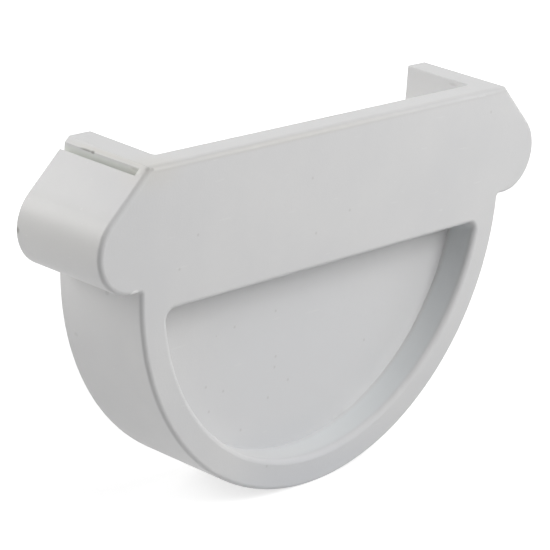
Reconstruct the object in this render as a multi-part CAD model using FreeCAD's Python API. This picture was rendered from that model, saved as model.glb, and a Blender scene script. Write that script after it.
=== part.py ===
import FreeCAD
import Part
import math
import os

# Half-round gutter end cap, moulded in one piece from rigid PVC.
# It is a short stub of the gutter's own section, closed in front by a wall with a sunken half-round panel.
# All sizes are millimetres. X runs across the gutter, Y runs from the front face into the run, Z is up.
# The origin is where the axis of the half-round bowl meets the front face.

# Bowl and uprights
BOWL_RADIUS = 46.3       # outside of the half-round
TOP_HEIGHT = 20.2        # flat top above the bowl's axis, at the front face
STUB_DEPTH = 19.5        # front face to rear edge
BOWL_WALL = 5.8          # bowl and uprights at the rear edge
DRAFT_ANGLE = 1.9        # degrees, taper of the recess and rise of the flat top towards the rear
WALL_DRAFT = 0.5         # degrees, taper of the hollow's sides and spread of the ears towards the rear

# Ears, the rounded lips that stand out at both sides
EAR_RADIUS = 7.6         # outside of the round
EAR_OFFSET = 2.05        # centre of the round outside the bowl
EAR_HEIGHT = 7.0         # centre of the round above the bowl's axis
EAR_WALL = 2.2           # sheet that forms the lip
EAR_SLOT = 1.0           # gap between an upright and the free edge of its lip
SHOULDER_SETBACK = 0.55  # the shoulder meets the flat top this far inside the upright's outer face

# Front wall
FACE_WALL = 2.0          # in front of the ear pockets
BAR_WALL = 4.8           # across the top, above the recess
PANEL_WALL = 2.2         # floor of the recess
LEDGE_WALL = 2.2         # step that joins the bar to the panel

# Recess in the front face
RECESS_DEPTH = 6.1
RECESS_TOP = -4.9        # flat upper edge, from the bowl's axis
RIM_WIDTH = 5.5          # face left between the recess and the outside of the bowl
RECESS_CORNER = 1.8      # round where the flat edge meets the half-round

# Edges
FRONT_ROUND = 0.8        # outside edge of the front face
RECESS_ROUND = 0.9       # edge of the recess
EAR_ROOT_ROUND = 0.6     # inside corner where the lip leaves the bowl
CORNER_ROUND = 0.6       # inside corner between the bar and an upright
TOP_ROUND = 0.25         # inner edge of the flat top

# Tools that cut through an open side reach past it by this much
OVERCUT = 5.0

# Edges are looked up by their place, to within this distance
NEAR = 0.01

# Sizes that follow from the ones above
draft = math.tan(math.radians(DRAFT_ANGLE))
wall_draft = math.tan(math.radians(WALL_DRAFT))
ear_x = BOWL_RADIUS + EAR_OFFSET
ear_floor = EAR_HEIGHT - EAR_RADIUS
inner_radius = BOWL_RADIUS - BOWL_WALL
recess_radius = BOWL_RADIUS - RIM_WIDTH
panel_rear = RECESS_DEPTH + PANEL_WALL
ledge_top = RECESS_TOP + LEDGE_WALL
rear_top = TOP_HEIGHT + STUB_DEPTH * draft


def point(x, y, z):
    """A point of the model."""
    return FreeCAD.Vector(x, y, z)


def line(start, end):
    """A straight edge."""
    return Part.LineSegment(start, end).toShape()


def arc(start, middle, end):
    """A circular edge through three points."""
    return Part.Arc(start, middle, end).toShape()


def polygon(corners):
    """Straight edges round these corners, closed."""
    return [line(start, end) for start, end in zip(corners, corners[1:] + corners[:1])]


def prism(edges, direction):
    """A solid with this closed outline, carried along a direction."""
    return Part.Face(Part.Wire(edges)).extrude(direction)


def mirrored(shape):
    """The same shape on the other side of the cap."""
    return shape.mirror(point(0, 0, 0), point(1, 0, 0))


def u_edges(radius, top, y):
    """Half-round with straight sides that rise to a flat top."""
    left = point(-radius, y, 0)
    right = point(radius, y, 0)
    top_left = point(-radius, y, top)
    top_right = point(radius, y, top)
    return [
        line(top_left, left),
        arc(left, point(0, y, -radius), right),
        line(right, top_right),
        line(top_right, top_left),
    ]


def shoulder_angle():
    """Direction from the ear's centre to where the shoulder, coming down from the flat top, meets its round."""
    across = BOWL_RADIUS - SHOULDER_SETBACK - ear_x
    rise = TOP_HEIGHT - EAR_HEIGHT
    return math.atan2(rise, across) - math.acos(EAR_RADIUS / math.hypot(across, rise))


def on_ear(radius, angle, y):
    """A point on a round about the ear's centre."""
    return point(ear_x + radius * math.cos(angle), y, EAR_HEIGHT + radius * math.sin(angle))


def on_shoulder(x, inset, y):
    """The point at this x of the shoulder line, or of its parallel this far inside the ear."""
    angle = shoulder_angle()
    reach = EAR_RADIUS - inset
    return point(x, y, EAR_HEIGHT + (reach - (x - ear_x) * math.cos(angle)) / math.sin(angle))


def lip_edges(inset, inner_x, y):
    """Outline of the right ear, or of its parallel this far inside, closed by an upright line at inner_x."""
    radius = EAR_RADIUS - inset
    bottom = on_ear(radius, -math.pi / 2, y)
    tangent = on_ear(radius, shoulder_angle(), y)
    floor = point(inner_x, y, bottom.z)
    top = on_shoulder(inner_x, inset, y)
    return [
        line(floor, bottom),
        arc(bottom, on_ear(radius, 0, y), tangent),
        line(tangent, top),
        line(top, floor),
    ]


def ear_run():
    """Direction of the right ear from the front face to the rear edge, spreading square to its shoulder."""
    spread = STUB_DEPTH * wall_draft
    angle = shoulder_angle()
    return point(spread * math.cos(angle), STUB_DEPTH, spread * math.sin(angle))


def shoulder_cut():
    """Wedge that takes the right upright's top corner down to the slope of the shoulder."""
    low = on_shoulder(BOWL_RADIUS + OVERCUT, 0, 0)
    high = on_shoulder(BOWL_RADIUS - OVERCUT, 0, 0)
    return prism(polygon([low, high, point(low.x, 0, high.z)]), ear_run())


def top_cut():
    """Wedge that leaves the flat top, which rises a little towards the rear."""
    side = -BOWL_RADIUS - OVERCUT
    above = rear_top + 2 * OVERCUT
    corners = [
        point(side, 0, TOP_HEIGHT),
        point(side, STUB_DEPTH, rear_top),
        point(side, STUB_DEPTH, above),
        point(side, 0, above),
    ]
    return prism(polygon(corners), point(-2 * side, 0, 0))


def ear_root_edges(shape):
    """The edges along the run where the floor of an ear leaves the bowl."""
    found = []
    middle_floor = ear_floor + ear_run().z / 2
    for edge in shape.Edges:
        middle = edge.CenterOfMass
        along = edge.BoundBox.YLength > STUB_DEPTH - NEAR
        at_floor = abs(middle.z - middle_floor) < NEAR
        if along and at_floor and abs(middle.x) < BOWL_RADIUS + NEAR:
            found.append(edge)
    return found


def front_edges(shape):
    """The edges that lie in the plane of the front face."""
    return [edge for edge in shape.Edges if edge.BoundBox.YMax < NEAR]


def blank():
    """The whole outside of the cap: bowl, uprights and both ears, with the front edge rounded."""
    run = point(0, STUB_DEPTH, 0)
    stub = prism(u_edges(BOWL_RADIUS, rear_top, 0), run)
    stub = stub.cut([shoulder_cut(), mirrored(shoulder_cut())])
    ear = prism(lip_edges(0, inner_radius, 0), ear_run())
    outside = stub.fuse([ear, mirrored(ear)]).cut(top_cut()).removeSplitter()
    outside = outside.makeFillet(EAR_ROOT_ROUND, ear_root_edges(outside))
    return outside.makeFillet(FRONT_ROUND, front_edges(outside))


def recess_edges(radius, top, y):
    """Half-round with a flat upper edge and rounded corners."""
    corner_z = top - RECESS_CORNER
    corner_x = math.sqrt((radius - RECESS_CORNER) ** 2 - corner_z ** 2)
    outward = math.atan2(corner_z, corner_x)
    half_way = (outward + math.pi / 2) / 2
    start = point(corner_x, y, top)
    middle = point(corner_x + RECESS_CORNER * math.cos(half_way), y, corner_z + RECESS_CORNER * math.sin(half_way))
    end = point(radius * math.cos(outward), y, radius * math.sin(outward))
    other_start = point(-start.x, y, start.z)
    other_middle = point(-middle.x, y, middle.z)
    other_end = point(-end.x, y, end.z)
    return [
        line(other_start, start),
        arc(start, middle, end),
        arc(end, point(0, y, -radius), other_end),
        arc(other_end, other_middle, other_start),
    ]


def recess():
    """Sunken half-round in the front face, tapered towards its floor."""
    taper = RECESS_DEPTH * draft
    mouth = Part.Wire(recess_edges(recess_radius, RECESS_TOP, 0))
    floor = Part.Wire(recess_edges(recess_radius - taper, RECESS_TOP - taper, RECESS_DEPTH))
    return Part.makeLoft([mouth, floor], True, True)


def recess_mouth(shape):
    """The edges of the front face that border the recess."""
    inside = []
    for edge in front_edges(shape):
        box = edge.BoundBox
        if box.ZMax < RECESS_TOP + NEAR and box.ZMin > -recess_radius - NEAR:
            inside.append(edge)
    return inside


def inside_from(y):
    """Inside of the bowl and uprights from this depth to the rear edge, wider towards the rear."""
    narrow = inner_radius - (STUB_DEPTH - y) * wall_draft
    above = rear_top + OVERCUT
    front = Part.Wire(u_edges(narrow, above, y))
    rear = Part.Wire(u_edges(inner_radius, above, STUB_DEPTH))
    return Part.makeLoft([front, rear], True, True)


def rear_cavity():
    """Hollow behind the front wall: up to the bar above the ledge, and up to the panel below it."""
    side = 2 * BOWL_RADIUS
    above_ledge = Part.makeBox(side, STUB_DEPTH, side, point(-BOWL_RADIUS, 0, ledge_top))
    behind_bar = inside_from(BAR_WALL).common(above_ledge)
    return behind_bar.fuse(inside_from(panel_rear))


def ear_pocket():
    """Hollow inside the right ear, open at the rear, with the slot that frees the lip's upper edge."""
    run = point(0, STUB_DEPTH - FACE_WALL, 0)
    pocket = prism(lip_edges(EAR_WALL, BOWL_RADIUS, FACE_WALL), run)
    slot = Part.makeBox(EAR_SLOT, run.y, rear_top - EAR_HEIGHT, point(BOWL_RADIUS, FACE_WALL, EAR_HEIGHT))
    return pocket.fuse(slot)


def bar_corner_edges(shape):
    """The upright edges in the inside corners between the bar and the uprights."""
    found = []
    for edge in shape.Edges:
        box = edge.BoundBox
        at_bar = abs(box.YMin - BAR_WALL) < NEAR and box.YLength < NEAR
        if at_bar and box.ZMin > ledge_top - NEAR and box.XLength < NEAR:
            found.append(edge)
    return found


def inner_top_edges(shape):
    """The edges where the flat top meets the hollow behind the bar."""
    found = []
    for edge in shape.Edges:
        ends = [vertex.Point for vertex in edge.Vertexes]
        on_top = all(abs(end.z - TOP_HEIGHT - end.y * draft) < NEAR for end in ends)
        inside = all(abs(end.x) < inner_radius + NEAR and end.y > BAR_WALL - NEAR for end in ends)
        at_rear = edge.BoundBox.YMin > STUB_DEPTH - NEAR
        if on_top and inside and not at_rear:
            found.append(edge)
    return found


def end_cap():
    """The whole moulding."""
    front = blank().cut(recess())
    front = front.makeFillet(RECESS_ROUND, recess_mouth(front))
    hollow = front.cut(rear_cavity()).removeSplitter()
    hollow = hollow.makeFillet(CORNER_ROUND, bar_corner_edges(hollow))
    hollow = hollow.makeFillet(TOP_ROUND, inner_top_edges(hollow))
    pocket = ear_pocket()
    return hollow.cut([pocket, mirrored(pocket)]).removeSplitter()


os.makedirs("parts", exist_ok=True)
cap = end_cap()
cap.exportStep("parts/end_cap.step")
print("end_cap valid", cap.isValid(), "solids", len(cap.Solids), "volume mm3", round(cap.Volume))
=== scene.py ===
import math

import bmesh
import bpy
from mathutils import Matrix, Vector


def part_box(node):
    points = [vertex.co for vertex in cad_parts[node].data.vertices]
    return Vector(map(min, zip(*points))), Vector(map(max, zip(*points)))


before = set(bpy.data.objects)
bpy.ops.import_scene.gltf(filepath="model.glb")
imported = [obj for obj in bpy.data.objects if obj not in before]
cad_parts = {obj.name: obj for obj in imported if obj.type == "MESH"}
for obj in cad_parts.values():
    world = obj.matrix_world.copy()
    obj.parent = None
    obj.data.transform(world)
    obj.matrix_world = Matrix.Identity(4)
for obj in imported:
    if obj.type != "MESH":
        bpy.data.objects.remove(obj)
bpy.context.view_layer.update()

# The end cap: one moulding in light grey rigid PVC, a stub of half-round gutter closed by a front wall.
# The moulded shape is already right, so it keeps its own surface and gets the finish of a handled satin
# moulding: faint flow clouds, a fine spark-eroded grain, a few specks, light scratches and dark marks, with
# light and shade painted into its colour in places.
MM = 0.001
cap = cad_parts["end_cap"]
cap_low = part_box("end_cap")[0]

# Colours of the plastic, then of light and shade painted into it, then of what is in it and on it
PVC_COLOUR = (0.695, 0.691, 0.687, 1.0)
PVC_CLOUD_COLOUR = (0.670, 0.668, 0.668, 1.0)
# Painted cool light: a lighter, cooler tone over the panel stands in for the cool light that reaches it
PANEL_COOL_LIGHT_COLOUR = (0.705, 0.707, 0.714, 1.0)
# Painted light: a lighter, cooler tone on the recess walls stands in for the cool light inside the recess
RECESS_LIGHT_COLOUR = (0.726, 0.748, 0.755, 1.0)
# Painted shade: darker and bluer towards the bottom of the front face and of the panel
LOWER_SHADE_COLOUR = (0.632, 0.640, 0.658, 1.0)
# Painted light: a lighter, greenish tone stands in for the light that fills the slot
SLOT_LIGHT_COLOUR = (0.800, 0.822, 0.770, 1.0)
# Painted shade on the top front round, with a slight warm tone of handling
TOP_FRONT_SHADE_COLOUR = (0.646, 0.643, 0.638, 1.0)
# Painted shade: a darker, slightly warm band on the roll of the left lip
LIP_SHADE_COLOUR = (0.622, 0.617, 0.606, 1.0)
SPECK_COLOUR = (0.400, 0.385, 0.360, 1.0)
SCRATCH_COLOUR = (0.735, 0.735, 0.730, 1.0)
# Warm tint of handling, also laid along the top front edge as painted shade
HANDLING_TINT_AND_SHADE = (0.665, 0.648, 0.605, 1.0)
DARK_MARK_COLOUR = (0.270, 0.262, 0.242, 1.0)
# Colour of a small bright spot below the left lip
BRIGHT_SPOT_COLOUR = (0.930, 0.925, 0.915, 1.0)

# Patches of the moulding: the middle of each and half its size along X, Y and Z, in millimetres,
# then how much of its half size its soft border takes
# Painted cool light over the panel
PANEL_COOL_LIGHT = ((0.0, 6.0, -26.0), (44.0, 3.5, 24.0), 0.8)
# Painted shade at the foot of the panel
PANEL_FOOT_SHADE = ((-6.0, 6.1, -40.5), (30.0, 1.5, 8.0), 0.9)
# Painted shade along the lower rim
LOWER_RIM_SHADE = ((-5.0, 0.0, -47.0), (46.0, 2.5, 15.0), 0.9)
# A small bright spot on the front round below the left lip
BRIGHT_SPOT = ((-47.9, 0.20, -0.25), (1.20, 0.95, 0.62), 0.5)

# Stretches of the moulding: in each limit, where the stretch begins to fade in and where it is full,
# in millimetres along an axis or from the bowl's axis
# Painted light on the walls of the recess
RECESS_WALL_LIGHT = (
    ("radius", 44.0, 42.0), ("X", -26.0, 14.0), ("Y", 0.4, 1.6), ("Y", 6.1, 5.0), ("Z", -3.4, -5.9),
)
MOUTH_EDGE = (
    ("radius", 38.5, 39.8), ("radius", 43.0, 42.0), ("Y", 0.02, 0.15), ("Y", 1.5, 1.0), ("Z", -3.4, -4.4),
)
TOP_EDGE = (("Y", 0.02, 0.15), ("Y", 1.4, 0.9), ("Z", 18.6, 19.3))
# Painted shade on the top front round, with a slight warm tone of handling
TOP_FRONT_SHADE = (("Y", 0.62, 0.30), ("Z", 18.9, 19.6))
# Painted shade on the roll of the left lip
LIP_ROLL_SHADE = (("X", -51.0, -53.0), ("Y", 0.3, 0.9), ("Z", 2.5, 8.8), ("Z", 14.5, 10.5))
# Painted light on the slot's face
SLOT_FACE_LIGHT = (
    ("X", -47.1, -46.8), ("X", -46.0, -46.25), ("Y", 1.0, 1.8), ("Y", 19.48, 19.3),
    ("Z", 19.9, 18.8), ("Z", 8.0, 12.0),
)

# The largest specks in the plastic, by their X and Z in millimetres, on the front face and on the panel
FACE_SPECKS = (
    (41.6, 16.1), (-5.0, 1.6), (-34.2, 6.9), (-38.1, 1.8), (-6.9, 11.8), (3.5, 4.2), (-13.6, -39.6),
)
PANEL_SPECKS = (
    (17.7, -25.0), (-2.7, -27.9), (-6.5, -24.6), (-6.4, -22.6), (-7.7, -30.1), (-7.2, -13.9),
    (-17.5, -14.6), (-19.4, -26.0), (-23.8, -24.2), (-22.7, -29.0), (-14.3, -34.6),
)
PANEL_DEPTH = 6.1
SPECK_HALF_SIZE = (0.42, 0.42, 0.42)
SPECK_BORDER = 0.9

# Hand marks, one of them partly painted shade, then dark marks and smudges: placed as the patches are,
# each with the share of the colour that it covers
HAND_MARKS_AND_EDGE_SHADE = (
    ((-44.5, 1.5, 19.5), (9.0, 6.0, 5.0), 0.5),
    # Partly handling dirt, partly painted shade that dims the highlight on the top front round
    ((-14.0, 0.15, 19.75), (52.0, 0.75, 0.8), 0.5),
    ((-46.0, 10.0, 20.1), (0.9, 12.0, 0.7), 0.7),
)
HAND_AND_SHADE_BORDER = 0.9
DARK_MARKS = (
    # The first two darken a dash along the slot's upper edge
    ((-46.2, 14.3, 19.78), (0.45, 2.2, 0.26), 0.75),
    ((-46.3, 12.8, 19.75), (0.45, 0.6, 0.38), 0.85),
    ((-46.3, 2.9, 19.32), (0.45, 1.4, 0.32), 0.25),
    ((-46.0, 0.6, 19.85), (0.55, 0.6, 0.45), 0.22),
    ((-45.3, 0.1, 19.80), (0.50, 0.5, 0.40), 0.38),
    ((-19.3, 2.6, -35.8), (0.65, 1.0, 0.55), 0.30),
    ((-44.4, 17.0, -13.1), (0.50, 0.6, 0.55), 0.14),
    ((-46.2, 8.2, -2.9), (0.50, 0.7, 0.60), 0.16),
    ((-55.9, 19.3, 6.8), (0.50, 0.6, 0.80), 0.85),
    ((1.2, 4.35, 20.3), (3.4, 0.35, 0.50), 0.22),
    ((41.0, 8.3, 19.6), (1.5, 1.6, 0.45), 0.22),
)
DARK_MARK_BORDER = 0.7

# How much of each colour shows where its mask is full
MOTTLE_SHARE = 0.35
PANEL_COOL_LIGHT_SHARE = 0.8
FOOT_SHADE_SHARE = 0.5
# Share of the painted light and shade on the recess walls, lower rim, lip, top front round and slot
PAINTED_LIGHT_AND_SHADE_SHARE = 0.9
SCRATCH_SHARE = 0.40
FINE_SPECK_SHARE = 0.22
SPECK_SHARE = 0.30

# The random patterns: how many clouds, cells or lines to a metre, and where in the noise each mask rises
CLOUDS_PER_METRE, CLOUD_DETAIL, CLOUD_RISE = 55.0, 4.0, (0.35, 0.70)
MOTTLE_PER_METRE, MOTTLE_RISE = 1400.0, (0.50, 0.80)
GRAIN_PER_METRE = 2600.0
SWELL_PER_METRE = 160.0
FINE_DETAIL = 2.0
NOISE_ROUGHNESS = 0.5
SPECK_CELLS_PER_METRE = 230.0
SPECKED_CELLS = 0.12
FULLY_SPECKED_CELLS = 0.108
FINE_SPECK_RADIUS = 0.22
SPECK_CORE = 0.4
SCRATCH_TURN = (0.0, 0.3, 0.5)
SCRATCH_STRETCH = (60.0, 420.0, 420.0)
SCRATCHES_PER_METRE, SCRATCH_DETAIL, SCRATCH_RISE = 3.0, 1.0, (0.735, 0.775)

# The surface itself: the height of its grain and swell in metres, its roughness, and how much
# duller its rubbed edges are
GRAIN_STRENGTH, GRAIN_HEIGHT = 0.18, 0.00008
SWELL_STRENGTH, SWELL_HEIGHT = 0.10, 0.0006
ROUGHNESS_LOW, ROUGHNESS_HIGH = 0.36, 0.44
RUBBED_ROUGHNESS = 0.35
PVC_IOR = 1.53
PVC_SPECULAR = 0.50


def add_node(tree, kind, settings=None, inputs=None):
    """A shader node with its settings, and with its sockets set to values or joined to other sockets."""
    node = tree.nodes.new(kind)
    for name, value in (settings or {}).items():
        setattr(node, name, value)
    for name, value in (inputs or {}).items():
        if isinstance(value, bpy.types.NodeSocket):
            tree.links.new(value, node.inputs[name])
        else:
            node.inputs[name].default_value = value
    return node


def noise(tree, place, per_metre, detail):
    """Soft random cloud over the surface, with this many clouds to a metre."""
    inputs = {"Vector": place, "Scale": per_metre, "Detail": detail, "Roughness": NOISE_ROUGHNESS}
    return add_node(tree, "ShaderNodeTexNoise", {"noise_dimensions": "3D"}, inputs).outputs["Fac"]


def ramp(tree, value, low, high):
    """Mask that rises smoothly from 0 at low to 1 at high."""
    settings = {"interpolation_type": "SMOOTHSTEP"}
    inputs = {"Value": value, "From Min": low, "From Max": high}
    return add_node(tree, "ShaderNodeMapRange", settings, inputs).outputs["Result"]


def combine(tree, operation, first, second):
    """Two values or masks put together by one operation."""
    return add_node(tree, "ShaderNodeMath", {"operation": operation}, {0: first, 1: second}).outputs["Value"]


def length(tree, vector):
    """Length of a vector."""
    return add_node(tree, "ShaderNodeVectorMath", {"operation": "LENGTH"}, {0: vector}).outputs["Value"]


def blend_colour(tree, mask, under, over):
    """One colour laid over another where the mask is 1."""
    node = add_node(tree, "ShaderNodeMix", {"data_type": "RGBA", "blend_type": "MIX"})
    for socket, value in ((node.inputs[0], mask), (node.inputs[6], under), (node.inputs[7], over)):
        if isinstance(value, bpy.types.NodeSocket):
            tree.links.new(value, socket)
        else:
            socket.default_value = value
    return node.outputs[2]


def patch(tree, place, centre, half_size, border):
    """Mask of a rounded patch about a point of the moulding, with a soft border."""
    scale = tuple(1.0 / (size * MM) for size in half_size)
    offset = tuple(-c * MM * s for c, s in zip(centre, scale))
    inputs = {"Vector": place, "Location": offset, "Scale": scale}
    moved = add_node(tree, "ShaderNodeMapping", None, inputs).outputs["Vector"]
    return ramp(tree, length(tree, moved), 1.0, 1.0 - border)


def stretch(tree, place, limits):
    """Mask of a stretch of the moulding between limits along its axes and in radius from the bowl's axis."""
    flat = add_node(tree, "ShaderNodeVectorMath", {"operation": "MULTIPLY"}, {0: place, 1: (1.0, 0.0, 1.0)})
    measures = dict(add_node(tree, "ShaderNodeSeparateXYZ", None, {"Vector": place}).outputs.items())
    measures["radius"] = length(tree, flat.outputs["Vector"])
    mask = 1.0
    for measure, outside, inside in limits:
        mask = combine(tree, "MULTIPLY", ramp(tree, measures[measure], outside * MM, inside * MM), mask)
    return mask


def fine_specks(tree, place):
    """Mask of small round specks: a few of the cells of a random pattern hold one each."""
    inputs = {"Vector": place, "Scale": SPECK_CELLS_PER_METRE, "Randomness": 1.0}
    cells = add_node(tree, "ShaderNodeTexVoronoi", {"feature": "F1"}, inputs)
    radius = FINE_SPECK_RADIUS * MM * SPECK_CELLS_PER_METRE
    near = ramp(tree, cells.outputs["Distance"], radius, SPECK_CORE * radius)
    pick = add_node(tree, "ShaderNodeSeparateColor", None, {"Color": cells.outputs["Color"]}).outputs["Red"]
    chosen = ramp(tree, pick, 1.0 - SPECKED_CELLS, 1.0 - FULLY_SPECKED_CELLS)
    return combine(tree, "MULTIPLY", near, chosen)


def placed_specks(tree, place):
    """Mask of the largest specks, at their own places."""
    centres = [(x, 0.0, z) for x, z in FACE_SPECKS] + [(x, PANEL_DEPTH, z) for x, z in PANEL_SPECKS]
    mask = None
    for centre in centres:
        one = patch(tree, place, centre, SPECK_HALF_SIZE, SPECK_BORDER)
        mask = one if mask is None else combine(tree, "MAXIMUM", mask, one)
    return mask


def hair_scratches(tree, place):
    """Mask of fine hair scratches, drawn out along one direction."""
    inputs = {"Vector": place, "Rotation": SCRATCH_TURN, "Scale": SCRATCH_STRETCH}
    drawn = add_node(tree, "ShaderNodeMapping", None, inputs).outputs["Vector"]
    return ramp(tree, noise(tree, drawn, SCRATCHES_PER_METRE, SCRATCH_DETAIL), *SCRATCH_RISE)


def satin_pvc():
    """Light grey moulded PVC with its grain, clouds, specks, scratches and dark marks, and light and shade
    painted into its colour.
    """
    material = bpy.data.materials.new("satin_pvc")
    material.use_nodes = True
    tree = material.node_tree
    tree.nodes.clear()
    place = add_node(tree, "ShaderNodeTexCoord").outputs["Object"]

    def lay(colour, mask, share, over):
        """A colour laid over what is there, in a share of the mask."""
        return blend_colour(tree, combine(tree, "MULTIPLY", mask, share), colour, over)

    clouds = ramp(tree, noise(tree, place, CLOUDS_PER_METRE, CLOUD_DETAIL), *CLOUD_RISE)
    mottle = ramp(tree, noise(tree, place, MOTTLE_PER_METRE, FINE_DETAIL), *MOTTLE_RISE)
    colour = blend_colour(tree, clouds, PVC_COLOUR, PVC_CLOUD_COLOUR)
    colour = lay(colour, mottle, MOTTLE_SHARE, PVC_CLOUD_COLOUR)
    # Painted cool light on the panel
    colour = lay(colour, patch(tree, place, *PANEL_COOL_LIGHT), PANEL_COOL_LIGHT_SHARE, PANEL_COOL_LIGHT_COLOUR)
    # Painted light on the recess walls
    colour = lay(colour, stretch(tree, place, RECESS_WALL_LIGHT), PAINTED_LIGHT_AND_SHADE_SHARE, RECESS_LIGHT_COLOUR)
    # Painted shade at the foot of the panel and along the lower rim
    colour = lay(colour, patch(tree, place, *PANEL_FOOT_SHADE), FOOT_SHADE_SHARE, LOWER_SHADE_COLOUR)
    colour = lay(colour, patch(tree, place, *LOWER_RIM_SHADE), PAINTED_LIGHT_AND_SHADE_SHARE, LOWER_SHADE_COLOUR)
    # Painted shade on the roll of the left lip
    colour = lay(colour, stretch(tree, place, LIP_ROLL_SHADE), PAINTED_LIGHT_AND_SHADE_SHARE, LIP_SHADE_COLOUR)
    # Painted shade on the top front round, with a slight warm tone of handling
    colour = lay(colour, stretch(tree, place, TOP_FRONT_SHADE), PAINTED_LIGHT_AND_SHADE_SHARE, TOP_FRONT_SHADE_COLOUR)
    # Painted light on the slot's face
    colour = lay(colour, stretch(tree, place, SLOT_FACE_LIGHT), PAINTED_LIGHT_AND_SHADE_SHARE, SLOT_LIGHT_COLOUR)

    colour = lay(colour, hair_scratches(tree, place), SCRATCH_SHARE, SCRATCH_COLOUR)
    # Hand marks, one of them partly painted shade along the top front edge
    for centre, half_size, share in HAND_MARKS_AND_EDGE_SHADE:
        colour = lay(colour, patch(tree, place, centre, half_size, HAND_AND_SHADE_BORDER), share, HANDLING_TINT_AND_SHADE)
    colour = lay(colour, fine_specks(tree, place), FINE_SPECK_SHARE, SPECK_COLOUR)
    colour = lay(colour, placed_specks(tree, place), SPECK_SHARE, SPECK_COLOUR)
    for centre, half_size, share in DARK_MARKS:
        colour = lay(colour, patch(tree, place, centre, half_size, DARK_MARK_BORDER), share, DARK_MARK_COLOUR)
    # A small bright spot below the left lip
    colour = blend_colour(tree, patch(tree, place, *BRIGHT_SPOT), colour, BRIGHT_SPOT_COLOUR)

    grain = noise(tree, place, GRAIN_PER_METRE, FINE_DETAIL)
    swell = noise(tree, place, SWELL_PER_METRE, FINE_DETAIL)
    grained = add_node(tree, "ShaderNodeBump", None, {
        "Strength": GRAIN_STRENGTH, "Distance": GRAIN_HEIGHT, "Height": grain,
    })
    swollen = add_node(tree, "ShaderNodeBump", None, {
        "Strength": SWELL_STRENGTH, "Distance": SWELL_HEIGHT, "Height": swell,
        "Normal": grained.outputs["Normal"],
    })
    satin = add_node(tree, "ShaderNodeMapRange", None, {
        "Value": swell, "To Min": ROUGHNESS_LOW, "To Max": ROUGHNESS_HIGH,
    })
    rubbed = combine(tree, "MAXIMUM", stretch(tree, place, MOUTH_EDGE), stretch(tree, place, TOP_EDGE))
    dulled = combine(tree, "MULTIPLY", rubbed, RUBBED_ROUGHNESS)

    surface = add_node(tree, "ShaderNodeBsdfPrincipled", None, {
        "Base Color": colour,
        "Roughness": combine(tree, "ADD", satin.outputs["Result"], dulled),
        "Normal": swollen.outputs["Normal"],
        "IOR": PVC_IOR,
        "Specular IOR Level": PVC_SPECULAR,
    })
    output = add_node(tree, "ShaderNodeOutputMaterial")
    tree.links.new(surface.outputs["BSDF"], output.inputs["Surface"])
    return material


cap.material_slots[0].material = satin_pvc()

# The camera stands in front of the cap's left lip, a little above it, and is turned slightly
# about its own axis. It looks at a point near the middle of the cap from arm's length.
# Its distance and its aim are given in bowl radii.
BOWL_RADIUS = -cap_low.z
CAMERA_AZIMUTH = math.radians(-48.261)
CAMERA_ELEVATION = math.radians(18.782)
CAMERA_ROLL = math.radians(3.883)
CAMERA_DISTANCE = 9.0607 * BOWL_RADIUS
CAMERA_AIM = Vector((-0.0420, 0.2488, -0.2129)) * BOWL_RADIUS
FOCAL_PIXELS = 2365.8
PHOTO_PIXELS = 550.0
SENSOR_WIDTH = 36.0
NEAREST_SEEN = 0.01
FARTHEST_SEEN = 20.0


def direction(azimuth, elevation):
    """Unit vector from the cap towards an azimuth, counted from the front, and an elevation."""
    return Vector((
        math.sin(azimuth) * math.cos(elevation),
        -math.cos(azimuth) * math.cos(elevation),
        math.sin(elevation),
    ))


camera_data = bpy.data.cameras.new("camera")
camera_data.sensor_fit = "HORIZONTAL"
camera_data.sensor_width = SENSOR_WIDTH
camera_data.lens = FOCAL_PIXELS * SENSOR_WIDTH / PHOTO_PIXELS
camera_data.clip_start = NEAREST_SEEN
camera_data.clip_end = FARTHEST_SEEN
to_camera = direction(CAMERA_AZIMUTH, CAMERA_ELEVATION)
level = Vector((math.cos(CAMERA_AZIMUTH), math.sin(CAMERA_AZIMUTH), 0.0))
upward = to_camera.cross(level)
camera_right = math.cos(CAMERA_ROLL) * level + math.sin(CAMERA_ROLL) * upward
camera_up = math.cos(CAMERA_ROLL) * upward - math.sin(CAMERA_ROLL) * level
turned = Matrix((camera_right, camera_up, to_camera)).transposed().to_4x4()
camera = bpy.data.objects.new("camera", camera_data)
camera.matrix_world = Matrix.Translation(CAMERA_AIM + CAMERA_DISTANCE * to_camera) @ turned
bpy.context.scene.collection.objects.link(camera)
bpy.context.scene.camera = camera

# The studio: soft boxes light the front from its right, and the left side and the top from behind.
# What faces the camera stays dimmer. Each lamp has its name, its azimuth from the front and its elevation
# in degrees, the size of its soft box in metres, its watts and its tint.
LAMP_DISTANCE = 0.60
NEUTRAL_TINT = (1.0, 1.0, 1.0)
WARM_TINT = (1.0, 0.995, 0.984)
LAMPS = (
    ("front_box", 25.0, 36.0, 0.35, 2.42, NEUTRAL_TINT),
    ("high_box", 30.0, 60.0, 0.35, 0.66, NEUTRAL_TINT),
    ("left_box", 222.0, 30.0, 0.30, 0.95, WARM_TINT),
    ("upper_box", 208.0, 45.0, 0.35, 0.50, WARM_TINT),
    ("side_box", 243.0, 18.0, 0.35, 0.46, WARM_TINT),
    ("rear_box", 200.0, 10.0, 0.35, 1.82, WARM_TINT),
)
for name, azimuth, elevation, size, power, tint in LAMPS:
    lamp_data = bpy.data.lights.new(name, "AREA")
    lamp_data.shape = "SQUARE"
    lamp_data.size = size
    lamp_data.energy = power
    lamp_data.color = tint
    outward = direction(math.radians(azimuth), math.radians(elevation))
    lamp = bpy.data.objects.new(name, lamp_data)
    lamp.location = CAMERA_AIM + LAMP_DISTANCE * outward
    lamp.rotation_euler = (-outward).to_track_quat("-Z", "Y").to_euler()
    bpy.context.scene.collection.objects.link(lamp)

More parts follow.
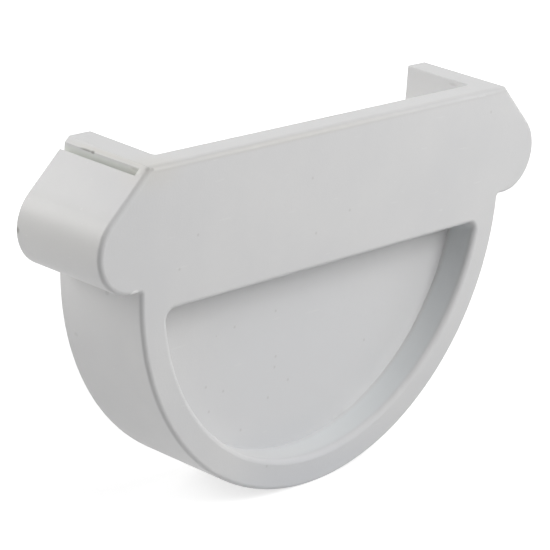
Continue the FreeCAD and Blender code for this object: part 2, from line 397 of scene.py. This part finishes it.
# The surround: an even white sweep that the eye sees, straight on and in reflections.
# It gives the cap next to no light of its own.
SURROUND_LIGHT = (0.067, 0.070, 0.076, 1.0)
WHITE = (1.0, 1.0, 1.0, 1.0)


def seen_directly(tree):
    """1 for rays that show the background, straight or in a reflection, and 0 for rays that carry light."""
    path = add_node(tree, "ShaderNodeLightPath").outputs
    total = path["Is Camera Ray"]
    for name in ("Is Glossy Ray", "Is Transmission Ray"):
        total = combine(tree, "MAXIMUM", total, path[name])
    return total


world = bpy.data.worlds.new("studio")
world.use_nodes = True
sky = world.node_tree
sky.nodes.clear()
sky_colour = blend_colour(sky, seen_directly(sky), SURROUND_LIGHT, WHITE)
sky_light = add_node(sky, "ShaderNodeBackground", None, {"Color": sky_colour, "Strength": 1.0})
sky_output = add_node(sky, "ShaderNodeOutputWorld")
sky.links.new(sky_light.outputs["Background"], sky_output.inputs["Surface"])
bpy.context.scene.world = world

# The floor: a plain pale board that the cap stands on. It takes the cap's shadow.
# A glow keeps it white, and more so further out, where the lamps don't reach.
FLOOR_HALF = 3.0
FLOOR_COLOUR = (0.58, 0.58, 0.58, 1.0)
FLOOR_ROUGHNESS = 0.9
NEAR_RADIUS, NEAR_GLOW = 0.10, 0.68
FAR_RADIUS, FAR_GLOW = 0.35, 1.0


def pale_board():
    """Matt pale board with a glow that only the eye sees."""
    material = bpy.data.materials.new("pale_board")
    material.use_nodes = True
    tree = material.node_tree
    tree.nodes.clear()
    place = add_node(tree, "ShaderNodeTexCoord").outputs["Object"]
    fading = add_node(tree, "ShaderNodeMapRange", {"interpolation_type": "SMOOTHSTEP"}, {
        "Value": length(tree, place), "From Min": NEAR_RADIUS, "From Max": FAR_RADIUS,
        "To Min": NEAR_GLOW, "To Max": FAR_GLOW,
    })
    surface = add_node(tree, "ShaderNodeBsdfPrincipled", None, {
        "Base Color": FLOOR_COLOUR,
        "Roughness": FLOOR_ROUGHNESS,
        "Specular IOR Level": 0.0,
        "Emission Color": WHITE,
        "Emission Strength": combine(tree, "MULTIPLY", seen_directly(tree), fading.outputs["Result"]),
    })
    output = add_node(tree, "ShaderNodeOutputMaterial")
    tree.links.new(surface.outputs["BSDF"], output.inputs["Surface"])
    return material


floor_shape = bmesh.new()
under_cap = Matrix.Translation((0.0, 0.0, cap_low.z))
bmesh.ops.create_grid(floor_shape, x_segments=1, y_segments=1, size=FLOOR_HALF, matrix=under_cap)
floor_mesh = bpy.data.meshes.new("floor")
floor_shape.to_mesh(floor_mesh)
floor_shape.free()
floor_mesh.materials.append(pale_board())
floor = bpy.data.objects.new("floor", floor_mesh)
bpy.context.scene.collection.objects.link(floor)

bpy.context.scene.view_settings.view_transform = "Standard"
